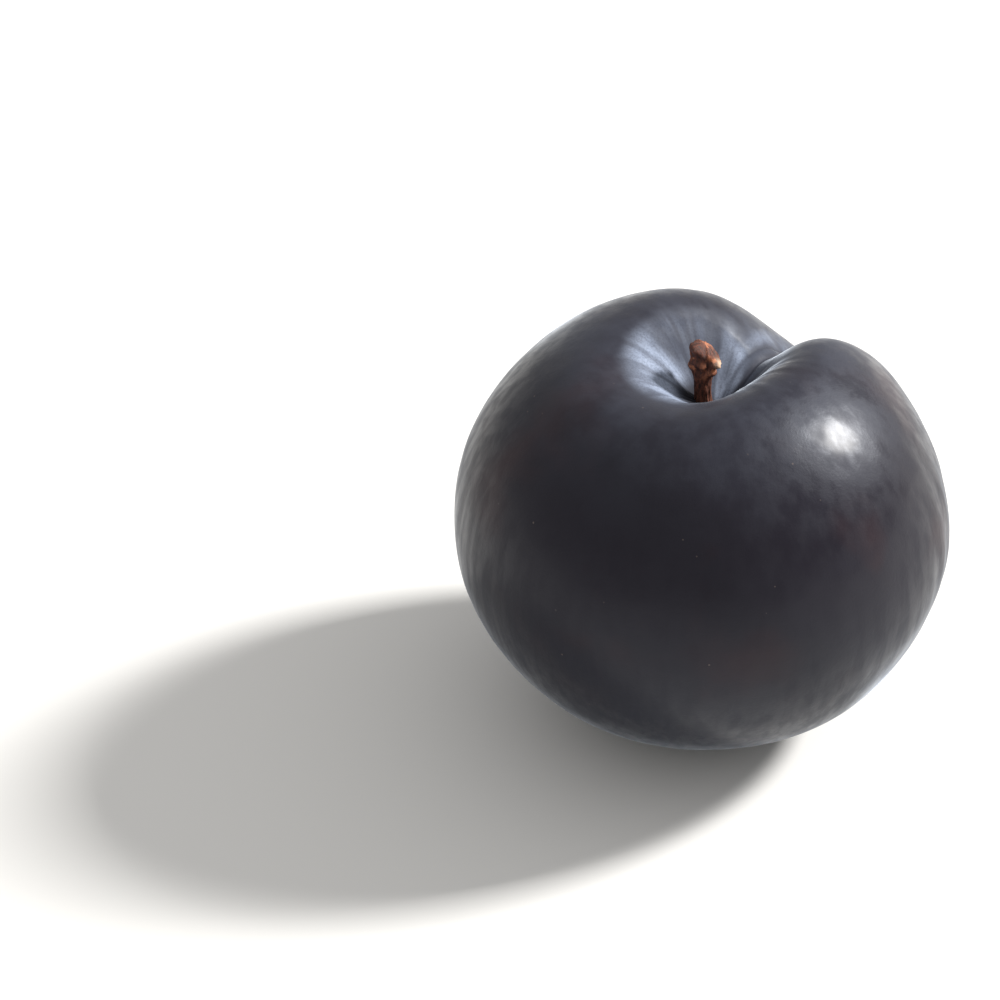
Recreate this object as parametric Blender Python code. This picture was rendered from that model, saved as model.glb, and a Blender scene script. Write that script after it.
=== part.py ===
"""A whole dark plum, as picked, with the short woody stalk still in its stem cavity.

Metres, +Z up along the stalk. The origin is the middle of the small flat spot that the fruit rests on.
The suture, the fold that runs from the stalk down one side towards the blossom end, is on the +X +Y side.
"""
import math

import bmesh
import bpy
from mathutils import Vector

# Fruit body: a slightly flattened globe, measured from its own centre.
EQUATOR_RADIUS = 0.0326
TOP_RADIUS = 0.0300
BASE_RADIUS = 0.0295
CENTRE_HEIGHT = 0.0286  # above the flat spot; less than BASE_RADIUS, so the base is cut flat

# One cheek stands a little higher than the rest of the shoulder.
CHEEK_SWELL = 0.04
CHEEK_AZIMUTH = math.radians(184)

# Stem cavity: a shallow dip between the shoulders with a steep funnel in its middle.
# Angles here and below are polar angles at the body's centre, measured from the stalk.
DIP_DEPTH = 0.0015
DIP_ANGLE = 0.42
FUNNEL_DEPTH = 0.0100
FUNNEL_ANGLE = 0.275
FUNNEL_STRETCH = 0.33  # how much longer the funnel is in the suture's plane
FUNNEL_TAIL = 0.22  # how much longer still on the side away from the suture
FUNNEL_TAIL_SPREAD = 0.8  # how far round that side the tail spreads, in azimuth
FUNNEL_STEEPNESS = 2.6

# Suture: a valley that parts the two lobes at the shoulder, then a faint groove down the side.
SUTURE_AZIMUTH = math.radians(50)
VALLEY_DEPTH = 0.0063
VALLEY_HALF_ANGLE = 0.23
VALLEY_START_ANGLE = 0.15
VALLEY_FADE_START = 0.79
VALLEY_FADE_ANGLE = 0.40
NEAR_LOBE_STEEPNESS = 0.80
FAR_LOBE_STEEPNESS = 1.29
GROOVE_DEPTH = 0.0005
GROOVE_HALF_ANGLE = 0.15

# Fruit mesh
FRUIT_SEGMENTS = 60
FRUIT_RINGS = 42
RING_CROWDING = 1.25  # above 1, the rings crowd towards the stem cavity

# Stalk: a foot that follows the cavity's floor, a shaft, and a lumpy head where it broke from the twig.
# Shares are parts of the stalk's length, from 0 at the foot to 1 at the top.
STALK_TOP_HEIGHT = 0.0562
STALK_FOOT_RADIUS = 0.0016
STALK_SHAFT_RADIUS = 0.00125
STALK_HEAD_RADIUS = 0.0023
FOOT_FLARE_SHARE = 0.18
HEAD_MIDDLE_SHARE = 0.76
HEAD_HALF_SHARE = 0.25
HEAD_STEEPNESS = 3.0
TOP_BLUNTNESS = 12.0  # the higher, the flatter the top and the tighter its rounded edge
HEAD_LOBES = 3
HEAD_LOBE_SIZE = 0.12
STALK_SEGMENTS = 18
STALK_RINGS = 18
FOOT_RINGS = 3
SEAT_GAP = 0.0004

# Plain material values
SKIN_COLOUR = (0.028, 0.020, 0.030)
SKIN_ROUGHNESS = 0.35
STALK_COLOUR = (0.16, 0.065, 0.030)
STALK_ROUGHNESS = 0.8
SHARP_EDGE_ANGLE = math.radians(60)


def gaussian(distance, width, power=2.0):
    """A bell that is 1 in the middle; a higher power gives it a flatter top and steeper sides."""
    return math.exp(-(abs(distance) / width) ** power)


def angle_from_suture(azimuth):
    """Azimuth counted from the suture, between -pi and pi."""
    return math.remainder(azimuth - SUTURE_AZIMUTH, 2 * math.pi)


def globe_radius(polar, azimuth):
    """The body's radius before the cavity and the suture are pressed into it."""
    height_radius = TOP_RADIUS if polar < math.pi / 2 else BASE_RADIUS
    radius = 1 / math.hypot(math.sin(polar) / EQUATOR_RADIUS, math.cos(polar) / height_radius)
    upper = 0.5 + 0.5 * math.cos(polar)
    swell = CHEEK_SWELL * math.cos(azimuth - CHEEK_AZIMUTH) * math.sin(polar) * upper
    return radius * (1 + swell)


def cavity_depth(polar, from_suture):
    """How far the stem cavity dips below the globe."""
    stretch = FUNNEL_STRETCH * math.cos(from_suture) ** 2
    stretch += FUNNEL_TAIL * gaussian(math.pi - abs(from_suture), FUNNEL_TAIL_SPREAD)
    funnel = FUNNEL_DEPTH * gaussian(polar, FUNNEL_ANGLE * (1 + stretch), FUNNEL_STEEPNESS)
    return DIP_DEPTH * gaussian(polar, DIP_ANGLE) + funnel


def suture_depth(polar, from_suture):
    """How far the suture dips: deep between the lobes, faint down the side, none at the back."""
    across = from_suture * math.sin(polar)
    side = NEAR_LOBE_STEEPNESS if across < 0 else FAR_LOBE_STEEPNESS
    opening = 1 - gaussian(polar, VALLEY_START_ANGLE)
    fading = gaussian(max(polar - VALLEY_FADE_START, 0), VALLEY_FADE_ANGLE)
    valley = VALLEY_DEPTH * opening * fading * gaussian(across, VALLEY_HALF_ANGLE * side)
    groove = GROOVE_DEPTH * math.sin(polar) * gaussian(across, GROOVE_HALF_ANGLE)
    return (valley + groove) * math.cos(from_suture / 2) ** 2


def fruit_point(polar, azimuth):
    """A point on the fruit's skin, in the part's frame, before the base is cut flat."""
    from_suture = angle_from_suture(azimuth)
    radius = globe_radius(polar, azimuth) - cavity_depth(polar, from_suture)
    radius -= suture_depth(polar, from_suture)
    level = radius * math.sin(polar)
    return Vector((
        level * math.cos(azimuth),
        level * math.sin(azimuth),
        CENTRE_HEIGHT + radius * math.cos(polar),
    ))


def make_material(name, colour, roughness):
    """A plain non-metallic material."""
    material = bpy.data.materials.new(name)
    material.use_nodes = True
    shader = material.node_tree.nodes["Principled BSDF"]
    shader.inputs["Base Color"].default_value = (*colour, 1.0)
    shader.inputs["Roughness"].default_value = roughness
    shader.inputs["Metallic"].default_value = 0.0
    return material


def add_piece(name, mesh_data, material):
    """Turn a finished bmesh into a smooth-shaded object of its own."""
    bmesh.ops.recalc_face_normals(mesh_data, faces=mesh_data.faces)
    mesh = bpy.data.meshes.new(name)
    mesh_data.to_mesh(mesh)
    mesh_data.free()
    mesh.materials.append(material)
    mesh.shade_smooth()
    mesh.set_sharp_from_angle(angle=SHARP_EDGE_ANGLE)
    piece = bpy.data.objects.new(name, mesh)
    bpy.context.scene.collection.objects.link(piece)
    return piece


def build_fruit():
    """Skin and flesh as one solid: a sphere pressed into shape and cut flat where it rests."""
    body = bmesh.new()
    bmesh.ops.create_uvsphere(body, u_segments=FRUIT_SEGMENTS, v_segments=FRUIT_RINGS, radius=1.0)
    for vertex in body.verts:
        share_of_way_down = vertex.co.angle(Vector((0, 0, 1))) / math.pi
        polar = math.pi * share_of_way_down ** RING_CROWDING
        vertex.co = fruit_point(polar, math.atan2(vertex.co.y, vertex.co.x))
    cut = bmesh.ops.bisect_plane(
        body, geom=body.verts[:] + body.edges[:] + body.faces[:],
        plane_co=(0, 0, 0), plane_no=(0, 0, -1), clear_outer=True)
    rim = [item for item in cut["geom_cut"] if isinstance(item, bmesh.types.BMEdge)]
    for vertex in {vertex for edge in rim for vertex in edge.verts}:
        vertex.co.z = 0.0
    bmesh.ops.contextual_create(body, geom=rim)
    return add_piece("fruit", body, make_material("plum_skin", SKIN_COLOUR, SKIN_ROUGHNESS))


def stalk_radius(share, azimuth):
    """Radius of the stalk at a share of its length."""
    flare = (STALK_FOOT_RADIUS - STALK_SHAFT_RADIUS) * gaussian(share, FOOT_FLARE_SHARE)
    lobed_radius = STALK_HEAD_RADIUS * (1 + HEAD_LOBE_SIZE * math.cos(HEAD_LOBES * azimuth))
    head = (lobed_radius - STALK_SHAFT_RADIUS) * gaussian(
        share - HEAD_MIDDLE_SHARE, HEAD_HALF_SHARE, HEAD_STEEPNESS)
    closing = math.sqrt(1 - share ** TOP_BLUNTNESS)
    return (STALK_SHAFT_RADIUS + flare + head) * closing


def stalk_rings():
    """Rings of points from the middle of the foot, out and up the side, to the top."""
    foot_height = fruit_point(0, 0).z + SEAT_GAP
    floor_radius = foot_height - CENTRE_HEIGHT
    azimuths = [2 * math.pi * step / STALK_SEGMENTS for step in range(STALK_SEGMENTS)]
    rings = []
    for step in range(1, FOOT_RINGS + 1):
        polar = STALK_FOOT_RADIUS * step / FOOT_RINGS / floor_radius
        rings.append([fruit_point(polar, azimuth) + Vector((0, 0, SEAT_GAP)) for azimuth in azimuths])
    edge_height = max(point.z for point in rings[-1])
    for step in range(1, STALK_RINGS):
        share = step / STALK_RINGS
        height = edge_height + (STALK_TOP_HEIGHT - edge_height) * share
        rings.append([
            Vector((math.cos(azimuth), math.sin(azimuth), 0)) * stalk_radius(share, azimuth)
            + Vector((0, 0, height)) for azimuth in azimuths])
    return foot_height, rings


def build_stalk():
    """The stalk as one closed solid standing on the floor of the stem cavity."""
    foot_height, rings = stalk_rings()
    body = bmesh.new()
    loops = [[body.verts.new(point) for point in ring] for ring in rings]
    for lower, upper in zip(loops, loops[1:]):
        for index in range(STALK_SEGMENTS):
            following = (index + 1) % STALK_SEGMENTS
            body.faces.new((lower[index], lower[following], upper[following], upper[index]))
    foot = body.verts.new((0, 0, foot_height))
    top = body.verts.new((0, 0, STALK_TOP_HEIGHT))
    for index in range(STALK_SEGMENTS):
        following = (index + 1) % STALK_SEGMENTS
        body.faces.new((loops[0][following], loops[0][index], foot))
        body.faces.new((loops[-1][index], loops[-1][following], top))
    return add_piece("stem", body, make_material("dry_stalk", STALK_COLOUR, STALK_ROUGHNESS))


def main():
    for leftover in list(bpy.data.objects):
        bpy.data.objects.remove(leftover, do_unlink=True)
    build_fruit()
    build_stalk()


main()
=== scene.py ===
"""The looks of the plum: a fine skin with its bloom, and the woody stalk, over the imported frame.

Lengths are in metres. The fruit's dimensions are multiples of its half width, read from the frame.
Polar angles are measured at the body's centre from the stalk, azimuths from +X towards +Y.
"""
import math

import bpy
import numpy as np
from mathutils import Matrix, Vector, noise


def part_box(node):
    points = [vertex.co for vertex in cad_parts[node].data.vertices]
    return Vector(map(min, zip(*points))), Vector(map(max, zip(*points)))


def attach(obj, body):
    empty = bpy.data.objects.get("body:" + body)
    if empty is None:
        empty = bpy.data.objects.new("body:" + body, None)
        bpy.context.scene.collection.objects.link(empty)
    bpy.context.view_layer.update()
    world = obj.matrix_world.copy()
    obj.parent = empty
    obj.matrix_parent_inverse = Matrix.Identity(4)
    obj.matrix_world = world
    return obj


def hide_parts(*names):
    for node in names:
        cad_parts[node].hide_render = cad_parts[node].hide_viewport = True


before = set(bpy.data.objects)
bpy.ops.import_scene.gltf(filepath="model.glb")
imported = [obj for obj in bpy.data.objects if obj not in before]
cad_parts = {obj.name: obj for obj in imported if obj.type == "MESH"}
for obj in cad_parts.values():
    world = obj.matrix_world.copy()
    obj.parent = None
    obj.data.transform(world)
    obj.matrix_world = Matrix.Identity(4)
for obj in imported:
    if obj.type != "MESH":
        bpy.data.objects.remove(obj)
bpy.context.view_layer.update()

FRUIT_LOW, FRUIT_HIGH = (Vector(corner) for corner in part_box("fruit"))
STEM_LOW, STEM_HIGH = (Vector(corner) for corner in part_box("stem"))
HALF_WIDTH = (FRUIT_HIGH.x - FRUIT_LOW.x) / 2
MILLIMETRE = HALF_WIDTH / 32.6

# Fruit body, in half widths
TOP_RADIUS = 0.920 * HALF_WIDTH
BASE_RADIUS = 0.905 * HALF_WIDTH
CENTRE_HEIGHT = 0.877 * HALF_WIDTH
CHEEK_SWELL = 0.04
CHEEK_AZIMUTH = math.radians(184)

# Stem cavity
DIP_DEPTH = 0.046 * HALF_WIDTH
DIP_ANGLE = 0.42
FUNNEL_DEPTH = 0.307 * HALF_WIDTH
FUNNEL_ANGLE = 0.275
FUNNEL_STRETCH = 0.33
FUNNEL_STEEPNESS = 2.6
FUNNEL_TAIL = 0.22  # how much further the funnel reaches on the side away from the suture
FUNNEL_TAIL_SPREAD = 0.8

# Suture
SUTURE_AZIMUTH = math.radians(50)
VALLEY_DEPTH = 0.193 * HALF_WIDTH
VALLEY_HALF_ANGLE = 0.23
VALLEY_START_ANGLE = 0.15
VALLEY_FADE_START = 0.79
VALLEY_FADE_ANGLE = 0.40
NEAR_LOBE_STEEPNESS = 0.80
FAR_LOBE_STEEPNESS = 1.29
GROOVE_DEPTH = 0.0153 * HALF_WIDTH
GROOVE_HALF_ANGLE = 0.15

# Fruit mesh
FRUIT_SEGMENTS = 400
FRUIT_RINGS = 236
RING_CROWDING = 1.18
SEGMENT_CROWDING = 0.45  # how much the segments crowd towards the suture

# Camera: viewing angle, distance, field and framing
CAMERA_ELEVATION = math.radians(34.4)
CAMERA_DISTANCE = 0.450
CAMERA_LENS_MM = 122.3
SENSOR_MM = 36.0
PLUM_RIGHT_OF_AXIS = 0.0272
PLUM_BELOW_AXIS = 0.0024


def bell(distance, width, power=2.0):
    """1 in the middle, falling to 0; a higher power gives a flatter top and steeper sides."""
    return np.exp(-(np.abs(distance) / width) ** power)


def turn_between(azimuth, centre):
    """The signed angle from centre to azimuth."""
    return np.remainder(azimuth - centre + math.pi, 2 * math.pi) - math.pi


def noise_field(points, scale, seed, octaves=1):
    """Smooth noise between about -1 and 1 at each point; scale is the size of its features."""
    shift = Vector((seed * 7.31, seed * 3.17, seed * 5.53))
    values = np.zeros(len(points))
    for octave in range(octaves):
        frequency = 2 ** octave / scale
        values += np.array([noise.noise(Vector(p) * frequency + shift) for p in points]) / 2 ** octave
    return values


# ---------------------------------------------------------------------------------------- fruit


def globe_radius(polar, azimuth):
    """The body's radius before the cavity and the suture are pressed into it."""
    height_radius = np.where(polar < math.pi / 2, TOP_RADIUS, BASE_RADIUS)
    radius = 1 / np.hypot(np.sin(polar) / HALF_WIDTH, np.cos(polar) / height_radius)
    upper = 0.5 + 0.5 * np.cos(polar)
    return radius * (1 + CHEEK_SWELL * np.cos(azimuth - CHEEK_AZIMUTH) * np.sin(polar) * upper)


def cavity_depth(polar, from_suture):
    """How far the stem cavity dips below the globe."""
    stretch = FUNNEL_STRETCH * np.cos(from_suture) ** 2
    stretch += FUNNEL_TAIL * bell(np.abs(from_suture) - math.pi, FUNNEL_TAIL_SPREAD)
    funnel_angle = FUNNEL_ANGLE * (1 + stretch)
    funnel = FUNNEL_DEPTH * bell(polar, funnel_angle, FUNNEL_STEEPNESS)
    return DIP_DEPTH * bell(polar, DIP_ANGLE) + funnel


def suture_depth(polar, from_suture):
    """How far the suture dips: deep between the lobes, faint down the side, none at the back."""
    across = from_suture * np.sin(polar)
    side = np.where(across < 0, NEAR_LOBE_STEEPNESS, FAR_LOBE_STEEPNESS)
    opening = 1 - bell(polar, VALLEY_START_ANGLE)
    fading = bell(np.maximum(polar - VALLEY_FADE_START, 0), VALLEY_FADE_ANGLE)
    valley = VALLEY_DEPTH * opening * fading * bell(across, VALLEY_HALF_ANGLE * side)
    groove = GROOVE_DEPTH * np.sin(polar) * bell(across, GROOVE_HALF_ANGLE)
    return (valley + groove) * np.cos(from_suture / 2) ** 2


def directions(polar, azimuth):
    """Unit vectors from the body's centre."""
    return np.stack([
        np.sin(polar) * np.cos(azimuth), np.sin(polar) * np.sin(azimuth), np.cos(polar)], axis=-1)


# Relief. Angles are polar or across the suture; the sizes of folds and ripples are on a unit circle.
CREASE_DEPTH = 0.55 * MILLIMETRE
CREASE_HALF_WIDTH = 0.030
CREASE_SHARPNESS = 1.5
CREASE_START = 0.16
CREASE_END = 0.95
CREASE_FADE_ANGLE = 0.35
CREASE_TAIL = 0.22  # share of the crease's depth that goes on to the blossom end
SECOND_CREASE_OFFSET = 0.075
SECOND_CREASE_SHARE = 0.55
SECOND_CREASE_HALF_WIDTH = CREASE_HALF_WIDTH * 0.8

FOLD_DEPTH = 0.22 * MILLIMETRE
FOLD_POLAR = 0.27
FOLD_SPREAD = 0.15
FOLD_SIZE = 0.16
FOLD_LENGTHENING = 0.35  # the smaller, the longer the folds run towards the stalk

LUMP_DEPTH = 0.30 * MILLIMETRE
LUMP_SIZE = 17 * MILLIMETRE
LUMP_FREE_ANGLE = 0.18  # no lumps round the stalk's foot
DENT_DEPTH = 0.045 * MILLIMETRE
DENT_SIZE = 4.5 * MILLIMETRE

RIPPLE_DEPTH = 0.27 * MILLIMETRE
RIPPLE_AZIMUTH = math.radians(-4)
RIPPLE_SPREAD = 0.42
RIPPLE_POLAR = 1.62
RIPPLE_HEIGHT = 0.50
RIPPLE_SIZE = 0.10
RIPPLE_LENGTHENING = 0.22

SCAR_DEPTH = 1.1 * MILLIMETRE
SCAR_ANGLE = 0.045

EDGE_ROUNDING = 0.35 * MILLIMETRE


def crease_depth(polar, from_suture):
    """The narrow crease in the suture's floor, with a second, shorter one beside it."""
    across = from_suture * np.sin(polar)
    start = 1 - bell(polar, CREASE_START)
    end = bell(np.maximum(polar - CREASE_END, 0), CREASE_FADE_ANGLE)
    along = start * (CREASE_TAIL + (1 - CREASE_TAIL) * end) * np.cos(from_suture / 2) ** 4
    main = bell(across, CREASE_HALF_WIDTH, CREASE_SHARPNESS)
    beside = SECOND_CREASE_SHARE * end * bell(
        across - SECOND_CREASE_OFFSET, SECOND_CREASE_HALF_WIDTH, CREASE_SHARPNESS)
    return CREASE_DEPTH * along * (main + beside)


def meridian_space(polar, azimuth, lengthening):
    """Points on a tall cylinder, whose noise comes out as streaks from the stalk downwards."""
    return np.stack([np.cos(azimuth), np.sin(azimuth), polar * lengthening], axis=-1)


def relief(polar, azimuth, from_suture):
    """Everything smaller than the body's own shape, as a height above it."""
    way = directions(polar, azimuth)
    folds = noise_field(meridian_space(polar, azimuth, FOLD_LENGTHENING), FOLD_SIZE, 3)
    folds *= bell(polar - FOLD_POLAR, FOLD_SPREAD)
    lumps = noise_field(way * HALF_WIDTH, LUMP_SIZE, 1)
    dents = noise_field(way * HALF_WIDTH, DENT_SIZE, 2, octaves=2)
    ripples = noise_field(meridian_space(polar, azimuth, RIPPLE_LENGTHENING), RIPPLE_SIZE, 5)
    ripples *= bell(turn_between(azimuth, RIPPLE_AZIMUTH), RIPPLE_SPREAD)
    ripples *= bell(polar - RIPPLE_POLAR, RIPPLE_HEIGHT)
    open_skin = 1 - bell(polar, LUMP_FREE_ANGLE)
    return (LUMP_DEPTH * lumps * open_skin + DENT_DEPTH * dents + FOLD_DEPTH * folds
            + RIPPLE_DEPTH * ripples - crease_depth(polar, from_suture))


def settle(height):
    """Press what lies below the table flat onto it, with a small rounding at the flat's edge."""
    return (height + np.sqrt(height ** 2 + EDGE_ROUNDING ** 2)) / 2


def fruit_grid():
    """Polar angle and azimuth of each vertex between the poles, ring by ring."""
    share = np.arange(1, FRUIT_RINGS) / FRUIT_RINGS
    polar = math.pi * share ** RING_CROWDING
    turn = np.arange(FRUIT_SEGMENTS) / FRUIT_SEGMENTS * 2 * math.pi
    from_suture = turn - SEGMENT_CROWDING * np.sin(turn)
    polar, from_suture = (grid.ravel() for grid in np.meshgrid(polar, from_suture, indexing="ij"))
    return polar, turn_between(from_suture, 0.0)


def grid_faces(rings, segments):
    """Quads between rings of vertices, then fans to a first and a last pole vertex."""
    faces = []
    for ring in range(rings - 1):
        for segment in range(segments):
            following = (segment + 1) % segments
            low, high = ring * segments, (ring + 1) * segments
            faces.append((low + segment, high + segment, high + following, low + following))
    first_pole, last_pole = rings * segments, rings * segments + 1
    last_ring = (rings - 1) * segments
    for segment in range(segments):
        following = (segment + 1) % segments
        faces.append((first_pole, segment, following))
        faces.append((last_pole, last_ring + following, last_ring + segment))
    return faces


def add_attribute(mesh, name, values):
    """Store one number for each vertex, for the material to read."""
    layer = mesh.attributes.new(name, "FLOAT", "POINT")
    layer.data.foreach_set("value", np.asarray(values, dtype=np.float32))


def add_piece(name, points, faces, attributes, material):
    """A smooth-shaded mesh object with its attributes and material."""
    mesh = bpy.data.meshes.new(name)
    mesh.from_pydata(points.tolist(), [], faces)
    mesh.validate()
    mesh.shade_smooth()
    for attribute, values in attributes.items():
        add_attribute(mesh, attribute, values)
    mesh.materials.append(material)
    piece = bpy.data.objects.new(name, mesh)
    bpy.context.scene.collection.objects.link(piece)
    return piece


# Bloom: the wax that lies where nothing has rubbed it off, on the walls of the cavity and the suture.
BLOOM_FIRST_SLOPE = 0.16  # the skin's fall towards the stalk where the bloom begins, in radians
BLOOM_NEAR_SIDE_SLOPE = 0.42  # how much steeper it has to be on the rubbed -Y side
BLOOM_SLOPE_RANGE = 0.45
RUBBED_AZIMUTH = math.radians(-60)
RUBBED_SPREAD = 0.9
VALLEY_BLOOM = 0.6
VALLEY_BLOOM_START = 0.35  # share of the valley's depth
VALLEY_BLOOM_RANGE = 0.6
VALLEY_SIDE_BLEND = 0.10
BLOOM_LEAST = 0.11
BLOOM_EVENNESS = 0.45  # the least that streaks and patches leave of it
LEFT_WALL_AZIMUTH = math.radians(202)
LEFT_WALL_SPREAD = 0.82
LEFT_WALL_BLOOM = 1.15
SUTURE_WALL_AZIMUTH = math.radians(62)
SUTURE_WALL_SPREAD = 0.27
SUTURE_WALL_BLOOM = 0.42
STREAK_SIZE = 0.13
STREAK_LENGTH = 3.2
PATCH_SIZE = 3.4 * MILLIMETRE


def inward_slope(points):
    """How steeply the skin falls towards the stalk at each vertex, in radians."""
    rings = points[:-2].reshape(FRUIT_RINGS - 1, FRUIT_SEGMENTS, 3)
    outward = np.gradient(np.hypot(rings[..., 0], rings[..., 1]), axis=0)
    rise = np.gradient(rings[..., 2], axis=0)
    slope = np.arctan2(rise, np.maximum(outward, 1e-7)).ravel()
    upper = rings[..., 2].ravel() > CENTRE_HEIGHT
    return np.append(np.where(upper, slope, 0.0), [0.0, 0.0])


def shelter_share(points, polar, azimuth, from_suture):
    """Where the skin is sheltered from rubbing, from 0 on the open shoulders to 1 on the walls; in the valley
    only the far wall, so that the bare near wall paints its shade.
    """
    rubbed = bell(turn_between(azimuth, RUBBED_AZIMUTH), RUBBED_SPREAD)
    first_slope = BLOOM_FIRST_SLOPE + BLOOM_NEAR_SIDE_SLOPE * rubbed
    walls = np.clip((inward_slope(points) - first_slope) / BLOOM_SLOPE_RANGE, 0.0, 1.0)
    # The valley's bloom lies only on its far wall; leaving the near wall bare paints the shade that falls on
    # it.
    far_side = np.clip(0.5 + from_suture * np.sin(polar) / VALLEY_SIDE_BLEND, 0.0, 1.0)
    valley = suture_depth(polar, from_suture) / VALLEY_DEPTH
    valley = np.clip((valley - VALLEY_BLOOM_START) / VALLEY_BLOOM_RANGE, 0.0, 1.0)
    smooth_walls = walls * walls * (3 - 2 * walls)
    return np.clip(smooth_walls + VALLEY_BLOOM * valley * far_side, 0.0, 1.0)


def bloom_share(shelter, polar, azimuth):
    """How thick the bloom lies: streaks that run towards the stalk, thickest on two of the walls."""
    streaks = noise_field(meridian_space(polar, azimuth, 1 / STREAK_LENGTH), STREAK_SIZE, 21, octaves=3)
    patches = noise_field(directions(polar, azimuth) * HALF_WIDTH, PATCH_SIZE, 22, octaves=2)
    left_wall = bell(turn_between(azimuth, LEFT_WALL_AZIMUTH), LEFT_WALL_SPREAD)
    suture_wall = bell(turn_between(azimuth, SUTURE_WALL_AZIMUTH), SUTURE_WALL_SPREAD)
    side = BLOOM_LEAST + LEFT_WALL_BLOOM * left_wall + SUTURE_WALL_BLOOM * suture_wall
    uneven = side * (0.85 + 0.9 * streaks + 0.8 * patches)
    return shelter * np.clip(uneven, BLOOM_EVENNESS * side, 1.0)


def build_fruit(material):
    """The fine skin that stands for the CAD fruit."""
    polar, from_suture = fruit_grid()
    polar = np.append(polar, [0.0, math.pi])
    from_suture = np.append(from_suture, [0.0, 0.0])
    azimuth = from_suture + SUTURE_AZIMUTH
    radius = globe_radius(polar, azimuth) - cavity_depth(polar, from_suture)
    radius -= suture_depth(polar, from_suture)
    radius += relief(polar, azimuth, from_suture)
    points = directions(polar, azimuth) * radius[:, None]
    points[:, 2] += CENTRE_HEIGHT
    underside = polar > math.pi / 2
    points[underside, 2] = settle(points[underside, 2])
    points[:, 2] += SCAR_DEPTH * bell(math.pi - polar, SCAR_ANGLE)
    shelter = shelter_share(points, polar, azimuth, from_suture)
    attributes = {
        "polar": polar,
        "shelter": shelter,
        "bloom": bloom_share(shelter, polar, azimuth),
        "hollow": cavity_depth(polar, from_suture) / (DIP_DEPTH + FUNNEL_DEPTH),
        "crease": crease_depth(polar, from_suture) / CREASE_DEPTH,
    }
    faces = grid_faces(FRUIT_RINGS - 1, FRUIT_SEGMENTS)
    return add_piece("plum_fruit", points, faces, attributes, material)


# ---------------------------------------------------------------------------------------- stalk

STALK_SEGMENTS = 96
STALK_RINGS = 150
STALK_TOP = STEM_HIGH.z + 0.5 * MILLIMETRE  # before the head's sloping top takes some of it away
STALK_BOTTOM = STEM_LOW.z - 0.8 * MILLIMETRE  # rooted a little way into the flesh
SHAFT_RADIUS = 1.08 * MILLIMETRE
FOOT_RADIUS = 1.75 * MILLIMETRE
HEAD_RADIUS = 1.78 * MILLIMETRE
STALK_SHIFT = -0.85 * MILLIMETRE  # it stands a little to one side of the cavity's middle
STALK_LEAN = 0.35 * MILLIMETRE
LEAN_TURNS = 3.0  # radians of the sine that the lean follows from foot to top
FOOT_FLARE = 0.14  # this and the next are shares of the stalk's height
HEAD_MIDDLE = 0.80
HEAD_HALF = 0.27
HEAD_STEEPNESS = 3.0
TOP_BLUNTNESS = 16

CRUST_SIZE = 0.45
CRUST_SHAFT_DEPTH = 0.10 * MILLIMETRE
CRUST_HEAD_DEPTH = 0.27 * MILLIMETRE
CRUST_HEAD_SPREAD = 0.25
CRUST_STRETCH = 2.2  # how far the noise runs from foot to top, on a unit circle
RIDGE_SIZE = 0.22
RIDGE_DEPTH = 0.11 * MILLIMETRE
RIDGE_STRETCH = 0.8
LEAST_RADIUS = 0.1 * MILLIMETRE
BARK_DEPTH = 0.3 * MILLIMETRE  # the relief that the bark's colours follow

# Knobs: share of the height, azimuth in degrees, height in millimetres, half height as a share of
# the stalk's, half width in radians.
KNOB_STEEPNESS = 2.4
HEAD_KNOBS = (
    (0.93, -140, 0.95, 0.075, 0.75),
    (0.80, -35, 0.85, 0.075, 0.55),
    (0.62, -50, 0.50, 0.045, 0.45),
    (0.74, -105, 0.35, 0.050, 0.40),
    (0.66, -160, 0.30, 0.045, 0.45),
    (0.82, 70, 0.70, 0.080, 0.60),
    (0.70, 130, 0.55, 0.060, 0.50),
    (0.90, 15, 0.25, 0.050, 0.50),
)
TOP_SLOPE = 1.9 * MILLIMETRE  # how far the head's top falls towards +X
TOP_SLOPE_SPREAD = 0.25

# The pale scar where the head tore off: middle, half height and half width.
SCAR_SHARE = 0.80
SCAR_AZIMUTH = math.radians(-30)
SCAR_HALF_SHARE = 0.085
SCAR_HALF_TURN = 0.42
SCAR_STEEPNESS = 3.0


def stalk_radius(share, azimuth):
    """Radius of the stalk's body: flared foot, shaft, knobbly head."""
    flare = (FOOT_RADIUS - SHAFT_RADIUS) * bell(share, FOOT_FLARE)
    head = (HEAD_RADIUS - SHAFT_RADIUS) * bell(share - HEAD_MIDDLE, HEAD_HALF, HEAD_STEEPNESS)
    knobs = np.zeros(len(share))
    for knob_share, degrees, height, tall, wide in HEAD_KNOBS:
        turn = turn_between(azimuth, math.radians(degrees))
        distance = np.hypot((share - knob_share) / tall, turn / wide)
        knobs += height * bell(distance, 1.0, KNOB_STEEPNESS) * MILLIMETRE
    closing = np.sqrt(1 - share ** TOP_BLUNTNESS)
    return (SHAFT_RADIUS + flare + head + knobs) * closing


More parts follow.
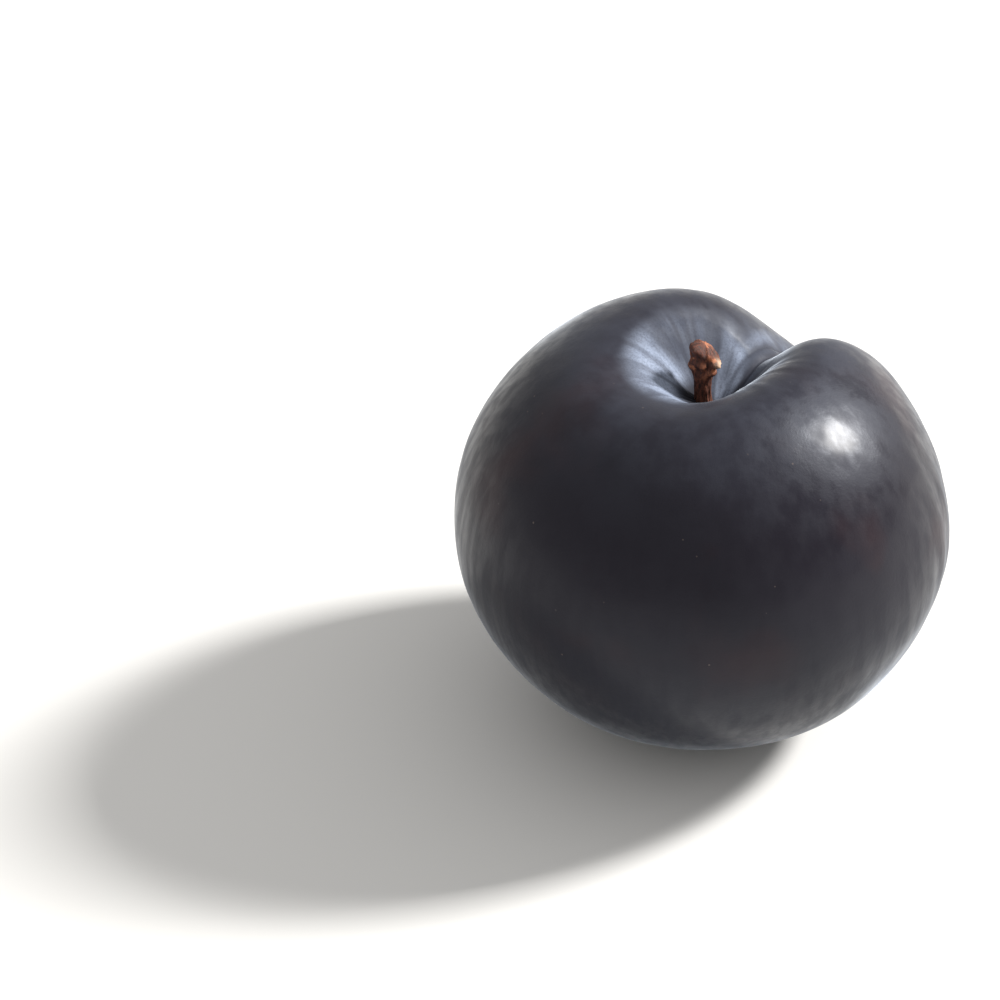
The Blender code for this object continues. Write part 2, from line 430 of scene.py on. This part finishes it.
def build_stalk(material):
    """The woody stalk that stands for the CAD stem."""
    share = np.arange(STALK_RINGS) / STALK_RINGS
    turn = np.arange(STALK_SEGMENTS) / STALK_SEGMENTS * 2 * math.pi
    share, azimuth = (grid.ravel() for grid in np.meshgrid(share, turn, indexing="ij"))
    share = np.append(share, [0.0, 1.0])
    azimuth = np.append(azimuth, [0.0, 0.0])
    body = stalk_radius(share, azimuth)
    height = STALK_BOTTOM + (STALK_TOP - STALK_BOTTOM) * share
    crust = noise_field(meridian_space(share, azimuth, CRUST_STRETCH), CRUST_SIZE, 11, octaves=3)
    crust *= CRUST_SHAFT_DEPTH + CRUST_HEAD_DEPTH * bell(share - HEAD_MIDDLE, CRUST_HEAD_SPREAD)
    ridges = noise_field(meridian_space(share, azimuth, RIDGE_STRETCH), RIDGE_SIZE, 12, octaves=2)
    ridges *= RIDGE_DEPTH
    radius = np.maximum(body + crust + ridges, LEAST_RADIUS)
    radius[-2:] = 0.0
    lean = STALK_LEAN * np.sin(share * LEAN_TURNS)
    across = radius * np.cos(azimuth)
    height -= TOP_SLOPE * (0.5 + 0.5 * across / HEAD_RADIUS) * bell(share - 1, TOP_SLOPE_SPREAD)
    points = np.stack([
        across + STALK_SHIFT - 0.6 * lean, radius * np.sin(azimuth) - 0.4 * lean, height], axis=-1)
    from_scar = np.hypot((share - SCAR_SHARE) / SCAR_HALF_SHARE,
                         turn_between(azimuth, SCAR_AZIMUTH) / SCAR_HALF_TURN)
    attributes = {
        "share": share,
        "height": (crust + ridges) / BARK_DEPTH * 0.5 + 0.5,
        "scar": bell(from_scar, 1.0, SCAR_STEEPNESS),
    }
    faces = [face[::-1] for face in grid_faces(STALK_RINGS, STALK_SEGMENTS)]
    return add_piece("plum_stalk", points, faces, attributes, material)


# ------------------------------------------------------------------------------------ materials


class Nodes:
    """Short calls for building a material's node tree."""

    def __init__(self, name):
        self.material = bpy.data.materials.new(name)
        self.material.use_nodes = True
        self.tree = self.material.node_tree
        self.shader = self.tree.nodes["Principled BSDF"]

    def link(self, source, target):
        self.tree.links.new(source, target)
        return source

    def put(self, socket, value):
        """Link a socket, or set a constant on it."""
        if isinstance(value, bpy.types.NodeSocket):
            self.tree.links.new(value, socket)
        else:
            socket.default_value = value

    def attribute(self, name):
        node = self.tree.nodes.new("ShaderNodeAttribute")
        node.attribute_name = name
        return node.outputs["Fac"]

    def position(self, scale=(1, 1, 1)):
        """Object coordinates in millimetres, stretched by scale."""
        place = self.tree.nodes.new("ShaderNodeTexCoord").outputs["Object"]
        mapping = self.tree.nodes.new("ShaderNodeMapping")
        mapping.inputs["Scale"].default_value = [factor / MILLIMETRE for factor in scale]
        self.link(place, mapping.inputs["Vector"])
        return mapping.outputs["Vector"]

    def noise(self, vector, scale, detail=4.0, roughness=0.55):
        node = self.tree.nodes.new("ShaderNodeTexNoise")
        self.link(vector, node.inputs["Vector"])
        node.inputs["Scale"].default_value = scale
        node.inputs["Detail"].default_value = detail
        node.inputs["Roughness"].default_value = roughness
        return node.outputs["Fac"]

    def cell_distance(self, vector, scale):
        """The distance to the middle of the nearest of many scattered cells."""
        node = self.tree.nodes.new("ShaderNodeTexVoronoi")
        self.link(vector, node.inputs["Vector"])
        node.inputs["Scale"].default_value = scale
        return node.outputs["Distance"]

    def maths(self, operation, first, second=0.0, clamp=False):
        node = self.tree.nodes.new("ShaderNodeMath")
        node.operation = operation
        node.use_clamp = clamp
        self.put(node.inputs[0], first)
        self.put(node.inputs[1], second)
        return node.outputs[0]

    def ramp(self, value, low, high, to_low=0.0, to_high=1.0):
        """Map low..high smoothly to to_low..to_high."""
        node = self.tree.nodes.new("ShaderNodeMapRange")
        node.interpolation_type = "SMOOTHSTEP"
        self.put(node.inputs["Value"], value)
        for socket, number in zip(("From Min", "From Max", "To Min", "To Max"), (low, high, to_low, to_high)):
            node.inputs[socket].default_value = number
        return node.outputs["Result"]

    def mix(self, share, first, second):
        """Mix two colours."""
        node = self.tree.nodes.new("ShaderNodeMix")
        node.data_type = "RGBA"
        self.put(node.inputs["Factor"], share)
        for socket, colour in ((node.inputs["A"], first), (node.inputs["B"], second)):
            self.put(socket, (*colour, 1.0) if isinstance(colour, tuple) else colour)
        return node.outputs["Result"]

    def bump(self, height, distance, normal=None):
        node = self.tree.nodes.new("ShaderNodeBump")
        node.inputs["Distance"].default_value = distance
        node.inputs["Strength"].default_value = 1.0
        self.link(height, node.inputs["Height"])
        if normal is not None:
            self.link(normal, node.inputs["Normal"])
        return node.outputs["Normal"]


SKIN_DARK = (0.0095, 0.0070, 0.0120)
# Painted shade for the deep floor of the stem cavity.
PAINTED_CAVITY_SHADE = (0.004, 0.003, 0.006)
SKIN_RED = (0.021, 0.0085, 0.011)
SKIN_SLATE = (0.011, 0.012, 0.019)
BLOOM_THIN = (0.070, 0.078, 0.105)
BLOOM_THICK = (0.30, 0.35, 0.46)
LENTICEL = (0.11, 0.085, 0.075)
CORKY = (0.16, 0.10, 0.055)


SKIN_IOR = 1.30
SPECULAR_TINT = (0.82, 0.88, 1.0, 1.0)
COAT_WEIGHT = 0.10
COAT_ROUGHNESS = 0.20
SHEEN_WEIGHT = 0.42
SHEEN_ROUGHNESS = 0.22
SHEEN_TINT = (0.80, 0.88, 1.0, 1.0)
PEBBLE_BUMP = 0.016 * MILLIMETRE
SPECK_BUMP = 0.004 * MILLIMETRE
BLOSSOM_END_EDGE = math.pi - 0.10
BLOSSOM_END_MIDDLE = math.pi - 0.04
CORK_SHARE = 0.8
SHELTERED_ROUGHNESS = 0.32  # how much rougher the bloom makes the skin


def skin_colour(nodes, place, cloudy, streaks, specks):
    """Purple-black skin, then thin bloom on the shoulder, thick bloom in the cavity, painted shade in the
    suture's crease and on the cavity's deep floor, and lenticels.
    """
    polar = nodes.attribute("polar")
    hollow = nodes.attribute("hollow")
    blotches = nodes.noise(place, 0.055, detail=3.0)
    colour = nodes.mix(nodes.ramp(blotches, 0.50, 0.72), SKIN_DARK, SKIN_RED)
    colour = nodes.mix(nodes.ramp(polar, 1.2, 2.1, 0.0, 0.9), colour, SKIN_SLATE)

    smears = nodes.maths("ADD", cloudy, nodes.ramp(streaks, 0.30, 0.70, -0.05, 0.07))
    thin = nodes.maths("MULTIPLY", nodes.ramp(smears, 0.28, 0.80, 0.35, 0.80),
                       nodes.ramp(polar, 0.45, 1.15, 0.55, 0.05))
    colour = nodes.mix(thin, colour, BLOOM_THIN)

    thick = nodes.maths("MULTIPLY", nodes.attribute("bloom"), nodes.ramp(specks, 0.30, 0.60, 0.65, 1.0))
    # Painted shade deep in the cavity: the bloom thins out towards the cavity's floor.
    thick = nodes.maths("MULTIPLY", thick, nodes.ramp(hollow, 0.68, 0.92, 1.0, 0.03))
    # Painted shade in the suture's crease: the bloom is left out of it.
    thick = nodes.maths("MULTIPLY", thick, nodes.ramp(nodes.attribute("crease"), 0.2, 0.8, 1.0, 0.15))
    colour = nodes.mix(thick, colour, BLOOM_THICK)
    # Painted shade: the cavity's deep floor is darkened nearly to black.
    colour = nodes.mix(nodes.ramp(hollow, 0.68, 0.92, 0.0, 0.95), colour, PAINTED_CAVITY_SHADE)

    dots = nodes.ramp(nodes.cell_distance(place, 0.42), 0.035, 0.075, 0.65, 0.0)
    chosen = nodes.ramp(nodes.noise(place, 0.13, detail=1.0), 0.48, 0.60)
    colour = nodes.mix(nodes.maths("MULTIPLY", dots, chosen), colour, LENTICEL)
    blossom_end = nodes.ramp(polar, BLOSSOM_END_EDGE, BLOSSOM_END_MIDDLE)
    return nodes.mix(nodes.maths("MULTIPLY", blossom_end, CORK_SHARE), colour, CORKY)


def skin_material():
    """Dark waxy skin: a satin surface that the bloom makes matt. Noise scales are per millimetre."""
    nodes = Nodes("plum_skin")
    shader = nodes.shader.inputs
    place = nodes.position()
    shelter = nodes.attribute("shelter")
    cloudy = nodes.noise(place, 0.16, detail=3.0, roughness=0.50)
    streaks = nodes.noise(nodes.position((1.0, 1.0, 0.20)), 0.55, detail=3.0, roughness=0.55)
    specks = nodes.noise(place, 3.2, detail=3.0, roughness=0.7)
    pebble = nodes.noise(place, 1.6, detail=4.0, roughness=0.6)
    nodes.link(skin_colour(nodes, place, cloudy, streaks, specks), shader["Base Color"])

    roughness = nodes.maths("ADD", nodes.ramp(cloudy, 0.35, 0.70, 0.36, 0.46),
                            nodes.ramp(streaks, 0.34, 0.66, -0.06, 0.10))
    roughness = nodes.maths("ADD", roughness, nodes.maths("MULTIPLY", shelter, SHELTERED_ROUGHNESS))
    nodes.link(roughness, shader["Roughness"])
    normal = nodes.bump(pebble, PEBBLE_BUMP)
    nodes.link(nodes.bump(specks, SPECK_BUMP, normal=normal), shader["Normal"])
    nodes.link(nodes.ramp(shelter, 0.1, 0.7, COAT_WEIGHT, 0.0), shader["Coat Weight"])
    shader["Coat Roughness"].default_value = COAT_ROUGHNESS
    shader["IOR"].default_value = SKIN_IOR
    shader["Specular Tint"].default_value = SPECULAR_TINT
    shader["Sheen Weight"].default_value = SHEEN_WEIGHT
    shader["Sheen Roughness"].default_value = SHEEN_ROUGHNESS
    shader["Sheen Tint"].default_value = SHEEN_TINT
    return nodes.material


BARK_DARK = (0.034, 0.012, 0.008)
BARK_BROWN = (0.17, 0.052, 0.030)
BARK_ORANGE = (0.44, 0.155, 0.070)
BARK_PALE = (0.62, 0.42, 0.28)
FIBRE_BUMP = 0.10 * MILLIMETRE


def stalk_material():
    """Dry reddish-brown bark with fibres, painted shade in its crevices, orange on its raised parts that is
    partly painted highlight, and a pale broken scar.
    """
    nodes = Nodes("dry_stalk")
    share = nodes.attribute("share")
    height = nodes.attribute("height")
    scar = nodes.attribute("scar")
    fibre = nodes.noise(nodes.position((1.0, 1.0, 0.25)), 3.4, detail=6.0, roughness=0.65)
    patches = nodes.noise(nodes.position(), 0.75, detail=4.0)
    colour = nodes.mix(nodes.ramp(fibre, 0.34, 0.66), BARK_DARK, BARK_BROWN)
    # Orange on the raised bark, stronger towards the head: partly the bark's own orange, partly painted
    # highlight where light catches it.
    lit = nodes.maths("MULTIPLY", nodes.ramp(patches, 0.47, 0.64), nodes.ramp(height, 0.35, 0.75))
    lit = nodes.maths("MULTIPLY", lit, nodes.ramp(share, 0.45, 0.75, 0.35, 1.0))
    colour = nodes.mix(lit, colour, BARK_ORANGE)
    # Painted shade: the bark's low relief, its crevices, is darkened.
    colour = nodes.mix(nodes.ramp(height, 0.10, 0.45, 0.85, 0.0), colour, BARK_DARK)
    torn = nodes.maths("MULTIPLY", scar, nodes.ramp(fibre, 0.25, 0.50, 0.5, 1.0))
    colour = nodes.mix(torn, colour, BARK_PALE)
    nodes.link(colour, nodes.shader.inputs["Base Color"])
    nodes.link(nodes.ramp(fibre, 0.3, 0.7, 0.62, 0.85), nodes.shader.inputs["Roughness"])
    nodes.link(nodes.bump(fibre, FIBRE_BUMP), nodes.shader.inputs["Normal"])
    return nodes.material


# ---------------------------------------------------------------------------------------- stage

FLOOR_SIZE = 6.0
FLOOR_COLOUR = (0.86, 0.855, 0.84)
SURROUND_COLOUR = (1.0, 0.99, 0.975, 1.0)
SURROUND_STRENGTH = 0.57
WINDOW_AZIMUTH = 18  # degrees
WINDOW_ELEVATION = 36  # degrees
WINDOW_DISTANCE = 1.5
WINDOW_WIDTH = 0.23
WINDOW_HEIGHT = 0.28
WINDOW_POWER = 38.0
WINDOW_COLOUR = (1.0, 0.985, 0.96)


def build_floor():
    """A plain pale floor."""
    mesh = bpy.data.meshes.new("floor")
    half = FLOOR_SIZE / 2
    corners = [(-half, -half, 0), (half, -half, 0), (half, half, 0), (-half, half, 0)]
    mesh.from_pydata(corners, [], [(0, 1, 2, 3)])
    nodes = Nodes("pale_floor")
    nodes.shader.inputs["Base Color"].default_value = (*FLOOR_COLOUR, 1.0)
    nodes.shader.inputs["Roughness"].default_value = 0.9
    nodes.shader.inputs["Specular IOR Level"].default_value = 0.1
    mesh.materials.append(nodes.material)
    floor = bpy.data.objects.new("floor", mesh)
    bpy.context.scene.collection.objects.link(floor)


def aim(thing, place, target):
    """Put a light or a camera at a place, looking at a target."""
    facing = (target - place).to_track_quat("-Z", "Y")
    thing.matrix_world = Matrix.Translation(place) @ facing.to_matrix().to_4x4()


def build_window():
    """One soft area light on the right, a little behind the plum."""
    light = bpy.data.lights.new("window", "AREA")
    light.shape = "RECTANGLE"
    light.size = WINDOW_WIDTH
    light.size_y = WINDOW_HEIGHT
    light.energy = WINDOW_POWER
    light.color = WINDOW_COLOUR
    lamp = bpy.data.objects.new("window", light)
    bpy.context.scene.collection.objects.link(lamp)
    way = directions(math.radians(90 - WINDOW_ELEVATION), math.radians(WINDOW_AZIMUTH))
    centre = Vector((0, 0, CENTRE_HEIGHT))
    aim(lamp, centre + Vector(way) * WINDOW_DISTANCE, centre)


def build_surround():
    """A dim, even surround."""
    world = bpy.data.worlds.new("surround")
    world.use_nodes = True
    background = world.node_tree.nodes["Background"]
    background.inputs["Color"].default_value = SURROUND_COLOUR
    background.inputs["Strength"].default_value = SURROUND_STRENGTH
    bpy.context.scene.world = world


def build_camera():
    """Looks down at the plum from the front, with the plum right of the frame's middle."""
    camera = bpy.data.objects.new("camera", bpy.data.cameras.new("camera"))
    bpy.context.scene.collection.objects.link(camera)
    camera.data.lens = CAMERA_LENS_MM
    camera.data.sensor_width = SENSOR_MM
    forward = Vector((0, math.cos(CAMERA_ELEVATION), -math.sin(CAMERA_ELEVATION)))
    up = Vector((0, math.sin(CAMERA_ELEVATION), math.cos(CAMERA_ELEVATION)))
    right = Vector((1, 0, 0))
    target = Vector((0, 0, CENTRE_HEIGHT)) - right * PLUM_RIGHT_OF_AXIS + up * PLUM_BELOW_AXIS
    aim(camera, target - forward * CAMERA_DISTANCE, target)
    bpy.context.scene.camera = camera


def write_sizes():
    """Bring the view layer up to date."""
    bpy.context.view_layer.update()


def main():
    build_camera()
    build_surround()
    build_window()
    build_floor()
    bpy.context.scene.view_settings.view_transform = "Standard"
    fruit = build_fruit(skin_material())
    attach(fruit, "root")
    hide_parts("fruit")
    stalk = build_stalk(stalk_material())
    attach(stalk, "root")
    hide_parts("stem")
    write_sizes()


main()
